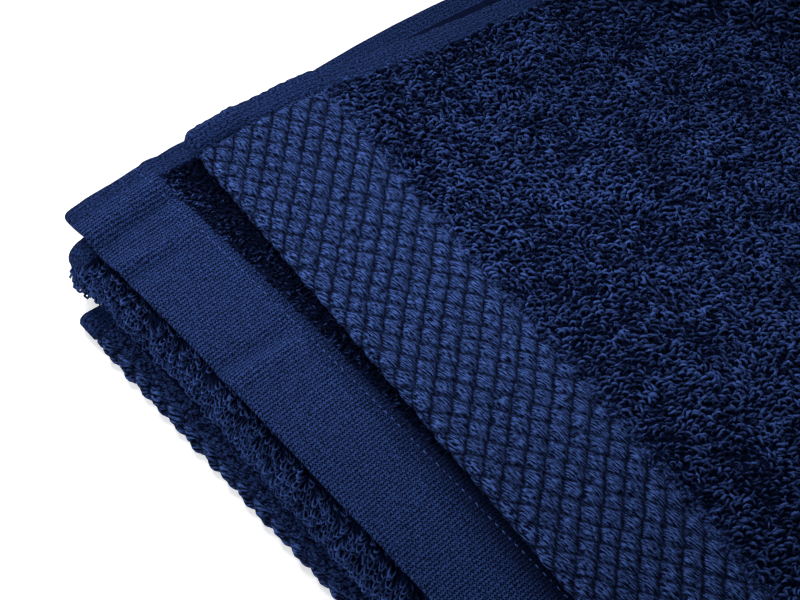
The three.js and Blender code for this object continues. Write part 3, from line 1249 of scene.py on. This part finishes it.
print("towel: terry loops on the top")
terryTree = yarnTree("terryYarns", terryLoops, 4)
x, along = gridPoints(*nearGrid, terry["nearPitch"], 1)
near = outsideSeen(x, along) < terry["seenMargin"]
startSway = terry["startSway"] * softNoise(x, along, terry["startCell"], 16)
near &= along > terryStart - terry["startBefore"] + startSway
x, along = x[near], along[near]
isLeft = x < np.median(x)
terryPieces = [
    terryYarns("terryNearLeft", x[isLeft], along[isLeft], 1.0, terry["nearSegments"], 2),
    terryYarns("terryNearRight", x[~isLeft], along[~isLeft], 1.0, terry["nearSegments"], 2),
]

x, along = gridPoints(*middleGrid, terry["middlePitch"], 3)
outside = outsideSeen(x, along)
middle = (outside >= terry["seenMargin"]) & (outside < terry["seenMargin"] + terry["middleBand"])
x, along = x[middle], along[middle]
terryPieces.append(terryYarns("terryMiddle", x, along, terry["middleScale"], terry["middleSegments"], 4))

x, along = gridPoints(*farGrid, terry["farPitch"], 5)
far = outsideSeen(x, along) >= terry["seenMargin"] + terry["middleBand"]
far &= along < markAlong("second layer", 0, x) + farPastFold
x, along = x[far], along[far]
for name, low, high in (("terryFarLeft", 0.0, 400.0), ("terryFarRight", 400.0, 700.0)):
    half = (x >= low) & (x < high)
    terryPieces.append(terryYarns(name, x[half], along[half], terry["farScale"], terry["farSegments"], 6))

print("towel: loops on the lower back fold and the flap")
x, offset = gridPoints(*backFoldGrid, terry["farPitch"], 7)
along = offset + foldMiddle(*backFoldRuns, x)
terryPieces.append(terryYarns("terryBackFold", x, along, terry["farScale"], terry["farSegments"], 8))

# The flap's loops, from the corner's fold to the hem line, are painted darker as shade under the fold
# above them and by its rim.
flap = {
    "grid": (8.0, 230.0, cloth["hem"] + 0.5, 58.0),
    "pitch": 1.5,
    "scale": 0.7,
    "segments": 4,
    "shade": 0.5,
    "shadeFrom": 3.0,
    "shadeLength": 16.0,
    "cornerShade": 6.0,
    "cornerReach": 30.0,
}
x, along = gridPoints(*flap["grid"], flap["pitch"], 9)
# Painted shade: the loops get darker from the hem line towards the fold, sooner near the left corner, and
# darkest by the rim.
fromHem = along - cloth["hem"] - flap["shadeFrom"]
fromHem = fromHem + flap["cornerShade"] * np.exp(-x / flap["cornerReach"])
paintedFlapShade = flap["shade"] * (1.0 - smoothStep(fromHem / flap["shadeLength"]))
paintedFlapShade *= 1.0 - nearTheRim(x, onCloth(x, along)[0][:, 1])
terryPieces.append(terryYarns("terryFlap", x, along, flap["scale"], flap["segments"], 10, paintedFlapShade))


# Long loops that hang from the front fold of the pile. At the cloth's left end they are longer and fall
# straighter off the fold.
hanging = {
    "above": 17.0,
    "below": 11.0,
    "belowAtEnd": 17.0,
    "endWidth": 22.0,
    "endReach": 12.0,
    "endFrom": 2.0,
    "endOver": 5.0,
    "endSize": 0.35,
    "radius": 0.4,
    "sides": 3,
    "way": (0.42, -0.40, -0.62),
    "endWay": (-0.30, -0.25, 0.0),
    "wayShare": 0.5,
    "waySpread": 0.17,
    "sideSway": 0.35,
    "sideCell": 5.0,
    "liftSway": 0.25,
    "liftCell": 4.0,
    "heading": 0.3,
    "headingSpread": 0.4,
    "topSize": 0.7,
    "topUntil": -10.0,
    "sizeSpread": 0.16,
    "leastSize": 0.7,
    "mostSize": 1.35,
    # The hanging loops' shade is set lighter than the top's loops, as painted light on the pile.
    "shade": 0.84,
    "shadeSpread": 0.25,
    "mostShade": 1.2,
}
# The side hem narrows under the fold, where the loops reach nearly to the cloth's edge.
hemUnderFold = [(-6.0, cloth["sideHem"]), (0.0, 4.5), (4.0, 1.2)]
# The near part is what the picture shows, and the far part is coarser.
pileColumns = ("name", "xFrom", "xTo", "pitch", "scale", "segments", "thickness", "seed")
pileParts = [
    ("pileNear", 0.6, 172.0, 1.38, 1.0, 7, 1.0, 50),
    ("pileFar", 172.0, 698.0, 2.4, 1.3, 3, 1.3, 60),
]


def hangingYarns(name, xFrom, xTo, pitch, scale, segments, thickness, seed):
    x, offset = gridPoints(xFrom, xTo, -hanging["above"], hanging["belowAtEnd"], pitch, seed)
    keep = sideDistance(x) > np.interp(offset, *zip(*hemUnderFold))
    keep &= (offset < hanging["below"]) | (x < hanging["endWidth"])
    x, offset = x[keep], offset[keep]
    places, normals = onCloth(x, foldMiddle(*pileFoldRuns, x) + offset)
    shuffle = np.random.default_rng(seed + 1)
    atEnd = bell(x / hanging["endReach"])
    atEnd = atEnd * smoothStep((offset - hanging["endFrom"]) / hanging["endOver"])
    facing = -normals * hanging["wayShare"] + np.array(hanging["way"])
    facing = facing + atEnd[:, None] * np.array(hanging["endWay"])
    facing += hanging["waySpread"] * shuffle.normal(0, 1, facing.shape)
    facing[:, 0] += hanging["sideSway"] * softNoise(x, offset, hanging["sideCell"], 41)
    facing[:, 2] += hanging["liftSway"] * softNoise(x, offset, hanging["liftCell"], 42)
    headingY = hanging["headingSpread"] * shuffle.normal(0, 1, len(x)) + hanging["heading"]
    heading = np.stack([np.ones_like(x), headingY, np.zeros_like(x)], axis=-1)
    size = 1.0 + hanging["sizeSpread"] * shuffle.normal(0, 1, len(x))
    size = np.clip(size, hanging["leastSize"], hanging["mostSize"]) * scale
    size *= np.where(offset < hanging["topUntil"], hanging["topSize"], 1.0)
    size *= 1.0 + hanging["endSize"] * atEnd
    shade = hanging["shade"] + hanging["shadeSpread"] * shuffle.normal(0, 1, len(x))
    shade = np.clip(shade, 0.0, hanging["mostShade"])
    base = places - normals * (clothSheet["pileGround"] - terry["rootDepth"])
    yarn = (hanging["radius"] * mm * thickness, hanging["sides"], segments, loopCotton)
    kept = {"facing": unit(facing), "heading": heading, "size": size, "shade": shade}
    return standYarns(name, pileTree, yarn, base, kept)


print("towel: long loops on the front pile fold")
pileTree = yarnTree("pileYarns", pileLoops, 6)
for row in pileParts:
    terryPieces.append(hangingYarns(**dict(zip(pileColumns, row))))


# The line of stitches that holds the hem.
stitching = {
    "fromHemLine": 3.6,
    "pitch": 3.0,
    "length": 1.7,
    "height": 0.32,
    "radius": 0.24,
    "sides": 4,
    "segments": 4,
    "bulge": 1.2,
    "slant": 0.15,
    "slantSpread": 0.12,
    "sunk": 0.42,
    "fromEdge": 1.5,
    "toEdge": 1.0,
    "jitter": 0.2,
    "wave": 0.2,
    "waveLength": 17.0,
    "shade": 0.7,
    "shadeSpread": 0.2,
}


def buildStitches():
    size = stitching
    x = np.arange(size["fromEdge"], cloth["width"] - size["toEdge"], size["pitch"])
    shuffle = np.random.default_rng(15)
    x = x + shuffle.uniform(-size["jitter"], size["jitter"], len(x))
    along = cloth["hem"] - size["fromHemLine"] + size["wave"] * np.sin(x / size["waveLength"])
    places, normals = onCloth(x, along)
    heading = np.tile(np.array([1.0, 0.0, 0.0]), (len(x), 1))
    heading[:, 1] += size["slantSpread"] * shuffle.normal(0, 1, len(x)) + size["slant"]
    lift = cloth["hemThickness"] / 2 + shuffle.uniform(-size["sunk"], 0.0, len(x))
    base = places + normals * lift[:, None]
    even = np.full(len(x), 1.0)
    shade = np.clip(size["shade"] + size["shadeSpread"] * shuffle.normal(0, 1, len(x)), 0.0, 1.0)
    tree = yarnTree("hemStitching", [(size["length"], size["height"], 0.0, 0.0, size["bulge"])], 1)
    yarn = (size["radius"] * mm, size["sides"], size["segments"], stitchCotton)
    kept = {"facing": normals, "heading": heading, "size": even, "shade": shade}
    return standYarns("hemStitches", tree, yarn, base, kept)


print("towel: hem stitches")
stitches = buildStitches()

print("towel: putting the pieces on the frame")
carried = [diamondBorder, bottomScallops, stitches] + terryPieces
for piece in [wovenCloth] + carried:
    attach(piece, "root")
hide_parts("towel")


# A pale floor that glows a little, a key and a fill light, three soft spots and even light from all round.
studio = {
    "floorSize": 40.0,
    "floorColour": (0.86, 0.87, 0.88, 1.0),
    "floorPatches": 1.04,
    "floorRoughness": 0.8,
    "floorGlow": 0.45,
    "ambient": 0.17,
    "backdrop": (0.62, 0.63, 0.64, 1.0),
}
white = (1.0, 1.0, 1.0, 1.0)
# Places in the frame's metres, a disk's or a lamp's size, the power in watts and a spot's cone in degrees.
lightColumns = ("name", "kind", "place", "towards", "size", "power", "cone")
lightTable = [
    ("keyLight", "AREA", (-0.80, -0.10, 0.46), (-0.28, -0.08, 0.03), 0.26, 4.1, 0.0),
    ("fillLight", "AREA", (-0.30, -1.20, 0.70), (-0.10, 0.0, 0.0), 1.0, 4.6, 0.0),
    ("frontSpot", "SPOT", (-0.778, -0.598, 0.54), (-0.255, -0.048, 0.04), 0.075, 34.0, 15.2),
    ("sideSpot", "SPOT", (0.80, -0.40, 0.95), (0.33, 0.02, 0.03), 0.2, 75.0, 34.0),
    ("backSpot", "SPOT", (0.071, 0.638, 0.54), (-0.255, -0.048, 0.04), 0.075, 28.0, 16.4),
]


def buildFloor():
    material = bpy.data.materials.new("paleFloor")
    material.use_nodes = True
    graph = Graph(material.node_tree)
    lighter = tuple(min(value * studio["floorPatches"], 1.0) for value in studio["floorColour"])
    finish = {
        "Base Color": graph.mixColour(fineNoise(graph, 3.0, 1.0), studio["floorColour"], lighter),
        "Roughness": studio["floorRoughness"],
        "Emission Color": white,
        "Emission Strength": studio["floorGlow"],
    }
    shader = graph.flow("ShaderNodeBsdfPrincipled", None, finish)
    graph.add("ShaderNodeOutputMaterial", None, {"Surface": shader})
    reach = studio["floorSize"] / 2
    mesh = bpy.data.meshes.new("floor")
    corners = [(-reach, -reach, 0), (reach, -reach, 0), (reach, reach, 0), (-reach, reach, 0)]
    mesh.from_pydata(corners, [], [(0, 1, 2, 3)])
    mesh.materials.append(material)
    makeObject("floor", mesh)


# Where a light or the camera stands, from its place and the ways of its own three axes.
def standing(place, right, up, back):
    turned = Matrix([[*right, 0], [*up, 0], [*back, 0], [0, 0, 0, 1]]).transposed()
    return Matrix.Translation(place) @ turned


def softLight(name, kind, place, towards, size, power, cone):
    data = bpy.data.lights.new(name, kind)
    if kind == "SPOT":
        data.spot_size = math.radians(cone)
        data.spot_blend = 1.0
        data.shadow_soft_size = size
    else:
        data.shape = "DISK"
        data.size = size
    data.energy = power
    away = unit(np.array(place) - np.array(towards))
    side = unit(np.cross([0.0, 0.0, 1.0], away))
    makeObject(name, data).matrix_world = standing(place, side, np.cross(away, side), away)


# The backdrop's grey is what the camera sees, and the white sky is what lights the towel.
def buildRoom():
    world = bpy.data.worlds.new("softRoom")
    world.use_nodes = True
    graph = Graph(world.node_tree)
    sky = graph.flow("ShaderNodeBackground", None, {"Color": white, "Strength": studio["ambient"]})
    seenSky = graph.flow("ShaderNodeBackground", None, {"Color": studio["backdrop"], "Strength": 1.0})
    seen = graph.flow("ShaderNodeLightPath", output="Is Camera Ray")
    mixed = graph.flow("ShaderNodeMixShader", None, {0: seen, 1: sky, 2: seenSky})
    graph.add("ShaderNodeOutputWorld", None, {"Surface": mixed})
    bpy.context.scene.world = world
    bpy.context.scene.view_settings.view_transform = "Standard"


# The camera stands close above the front left corner. Its place is in the layout's own millimetres.
view = {
    "place": (-8.0, 0.0, 463.9),
    "right": (0.56648, 0.82406, -0.00456),
    "down": (0.67778, -0.46905, -0.56622),
    "look": (-0.46874, 0.31767, -0.82424),
    "lens": 72.0,
    "sensor": 36.0,
    "nearest": 0.02,
}


def buildCamera():
    data = bpy.data.cameras.new("camera")
    data.lens = view["lens"]
    data.sensor_width = view["sensor"]
    data.clip_start = view["nearest"]
    camera = makeObject("camera", data)
    right, down, look = (np.array(view[way]) for way in ("right", "down", "look"))
    camera.matrix_world = standing(inFrame(np.array(view["place"])), right, -down, -look)
    bpy.context.scene.camera = camera


print("towel: floor, lights and camera")
buildFloor()
for row in lightTable:
    softLight(**dict(zip(lightColumns, row)))
buildRoom()
buildCamera()

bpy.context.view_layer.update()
print("towel: done")
